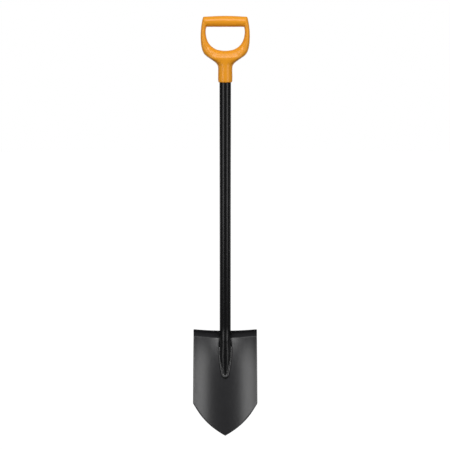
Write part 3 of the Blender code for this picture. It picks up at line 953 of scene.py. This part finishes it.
def handle_plastic():
    """Moulded orange plastic: a soft sheen, faint flow marks and a fine grain."""
    material, tree, shader = new_material("handle_plastic")
    shader.inputs["Specular IOR Level"].default_value = 0.42
    flow = noise_value(tree, scale=28, detail=4, stretch=(1, 1, 0.35))
    cloud_colour(tree, shader, flow, dark=(0.86, 0.333, 0.0125), light=(0.90, 0.353, 0.0165))
    patchy_roughness(tree, shader, noise_value(tree, scale=90, detail=3), 0.28, 0.33)
    grain = noise_value(tree, scale=900, detail=2)
    waves = noise_value(tree, scale=40, detail=2)
    add_bump(tree, shader, [(waves, FLOW_DEPTH), (grain, GRAIN_DEPTH)], RELIEF_STRENGTH)
    return material


def black_coat(name, dark, light, rough, specular):
    """Powder coat: black, with the fine waves that the melted powder leaves."""
    material, tree, shader = new_material(name)
    shader.inputs["Specular IOR Level"].default_value = specular
    cloud_colour(tree, shader, noise_value(tree, scale=35, detail=4), dark, light)
    patches = noise_value(tree, scale=160, detail=3)
    patchy_roughness(tree, shader, patches, rough - ROUGHNESS_PATCH, rough + ROUGHNESS_PATCH)
    peel = noise_value(tree, scale=400, detail=2)
    grain = noise_value(tree, scale=2600, detail=2)
    add_bump(tree, shader, [(peel, PEEL_DEPTH), (grain, GRAIN_DEPTH)], RELIEF_STRENGTH)
    return material


def screw_zinc():
    """Bright zinc plate, slightly clouded, with fine turning marks."""
    material, tree, shader = new_material("screw_zinc")
    shader.inputs["Metallic"].default_value = 1.0
    cloud = noise_value(tree, scale=500, detail=3)
    cloud_colour(tree, shader, cloud, dark=(0.50, 0.50, 0.48), light=(0.62, 0.61, 0.57))
    scratches = noise_value(tree, scale=3000, detail=2, stretch=(1, 0.1, 1))
    patchy_roughness(tree, shader, scratches, 0.24, 0.40)
    add_bump(tree, shader, [(scratches, SCRATCH_DEPTH)], SCRATCH_STRENGTH)
    return material


# Studio
def make_camera():
    data = bpy.data.cameras.new("camera")
    data.sensor_width = SENSOR_MM
    data.lens = VIEW_DISTANCE / METRES_PER_PIXEL * SENSOR_MM / PHOTO_PIXELS
    camera = add_object("camera", data)
    back = Vector((0, -math.cos(VIEW_PITCH), math.sin(VIEW_PITCH)))
    camera.location = VIEW_MIDDLE + back * VIEW_DISTANCE
    camera.rotation_euler = (math.pi / 2 - VIEW_PITCH, 0, 0)
    bpy.context.scene.camera = camera


def add_panel(name, place, aim, size, level):
    """A soft panel light. Level is its brightness, where 1 shows as white."""
    data = bpy.data.lights.new(name, "AREA")
    data.shape = "RECTANGLE"
    data.size, data.size_y = size
    data.energy = level * math.pi * size[0] * size[1]
    panel = add_object(name, data)
    panel.location = place
    panel.rotation_euler = (place - aim).to_track_quat("Z", "Y").to_euler()
    panel.visible_camera = False


def make_lights():
    height = PANEL_TOP - PANEL_BOTTOM
    middle = (PANEL_TOP + PANEL_BOTTOM) / 2
    for name, turn in (("left_panel", LEFT_PANEL_TURN), ("right_panel", RIGHT_PANEL_TURN)):
        place = Vector((math.sin(turn), -math.cos(turn), 0)) * PANEL_DISTANCE + Vector((0, 0, middle))
        add_panel(name, place, Vector((0, 0, middle)), (PANEL_WIDTH, height), PANEL_LEVEL)
    add_panel("top_panel", TOP_PANEL_PLACE, TOP_PANEL_AIM, TOP_PANEL_SIZE, TOP_PANEL_LEVEL)


def coordinates(tree, space):
    place = tree.nodes.new("ShaderNodeTexCoord")
    parts = tree.nodes.new("ShaderNodeSeparateXYZ")
    tree.links.new(place.outputs[space], parts.inputs["Vector"])
    return parts.outputs


def background(tree, strength=None):
    """White light at full strength, or at the strength that a socket gives."""
    node = tree.nodes.new("ShaderNodeBackground")
    node.inputs["Color"].default_value = (1, 1, 1, 1)
    if strength:
        tree.links.new(strength, node.inputs["Strength"])
    return node.outputs[0]


def mix_shaders(tree, share, first, second):
    node = tree.nodes.new("ShaderNodeMixShader")
    tree.links.new(share, node.inputs["Fac"])
    tree.links.new(first, node.inputs[1])
    tree.links.new(second, node.inputs[2])
    return node.outputs[0]


def make_world():
    """White to the camera, a dim room to matt surfaces, and a white backdrop in what gloss mirrors."""
    world = bpy.data.worlds.new("studio")
    bpy.context.scene.world = world
    world.use_nodes = True
    world.color = (1, 1, 1)
    tree = world.node_tree
    tree.nodes.clear()
    output = tree.nodes.new("ShaderNodeOutputWorld")
    direction = coordinates(tree, "Generated")
    height = to_range(tree, direction["Z"], AMBIENT_BELOW, AMBIENT_ABOVE, AMBIENT_SPAN)
    behind = to_range(tree, direction["Y"], 0, AMBIENT_BEHIND, BEHIND_SPAN)
    room = background(tree, join_values(tree, "ADD", height, behind))
    backdrop = to_range(tree, direction["Y"], MIRRORED_FRONT, MIRRORED_BACKDROP, BACKDROP_SPAN)
    rays = tree.nodes.new("ShaderNodeLightPath")
    light = mix_shaders(tree, rays.outputs["Is Glossy Ray"], room, background(tree, backdrop))
    seen = mix_shaders(tree, rays.outputs["Is Camera Ray"], light, background(tree))
    tree.links.new(seen, output.inputs["Surface"])


def make_floor():
    """A pale floor below the hanging spade. The camera sees it as white, with its shadows."""
    bm = bmesh.new()
    bmesh.ops.create_circle(bm, cap_ends=True, segments=FLOOR_SIDES, radius=FLOOR_RADIUS)
    floor = add_object("floor", mesh_from(bm, "floor"))
    floor.location = (0, 0, CAD_BOX[0][2] - FLOOR_DROP)
    material, tree, shader = new_material("floor_paper")
    shader.inputs["Base Color"].default_value = (FLOOR_GREY, FLOOR_GREY, FLOOR_GREY, 1)
    shader.inputs["Roughness"].default_value = FLOOR_ROUGHNESS
    shader.inputs["Specular IOR Level"].default_value = 0.0
    shader.inputs["Emission Color"].default_value = (FLOOR_EMISSION, FLOOR_EMISSION, FLOOR_EMISSION, 1)
    rays = tree.nodes.new("ShaderNodeLightPath")
    behind = to_range(tree, coordinates(tree, "Object")["Y"], 0, 1, FLOOR_SPAN)
    mirrored = join_values(tree, "MULTIPLY", rays.outputs["Is Glossy Ray"], behind)
    white = join_values(tree, "MAXIMUM", rays.outputs["Is Camera Ray"], mirrored)
    strength = to_range(tree, white, 0, FLOOR_LEVEL / FLOOR_EMISSION, (0, 1))
    tree.links.new(strength, shader.inputs["Emission Strength"])
    floor.data.materials.append(material)


make_blade()
make_shaft()
make_handle()
make_screw()
make_welds()
make_camera()
make_lights()
make_world()
make_floor()
bpy.context.scene.view_settings.view_transform = "Standard"
